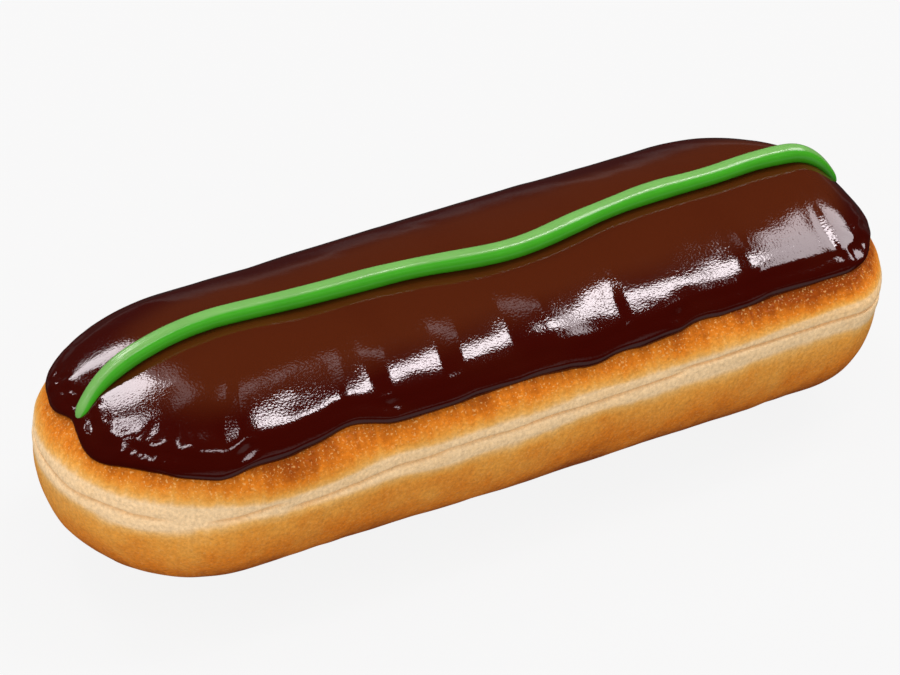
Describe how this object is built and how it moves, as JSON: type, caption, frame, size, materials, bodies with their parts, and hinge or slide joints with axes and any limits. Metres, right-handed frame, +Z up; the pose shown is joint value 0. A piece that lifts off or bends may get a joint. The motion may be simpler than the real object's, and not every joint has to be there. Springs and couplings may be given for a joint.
{
  "type": "chocolate eclair",
  "caption": "Long raised dough bar with a glossy chocolate coat over its top and a piped green icing line along the crown.",
  "frame": {"origin": "centre of the footprint, on the surface the bar rests on", "axes": "+X along the bar, +Y towards its back, +Z up"},
  "size_m": [0.1477, 0.0546, 0.0394],
  "materials": {
    "fried_dough": "golden brown fried crust with a pale cream waist, fine grain, slight oil sheen",
    "chocolate_coat": "very glossy dark chocolate icing with faint ripples",
    "green_icing": "glossy grass green piped icing"
  },
  "bodies": {
    "root": {"dough_bun": "fried_dough", "chocolate_icing": "chocolate_coat", "green_icing_line": "green_icing"}
  },
  "joints": []
}
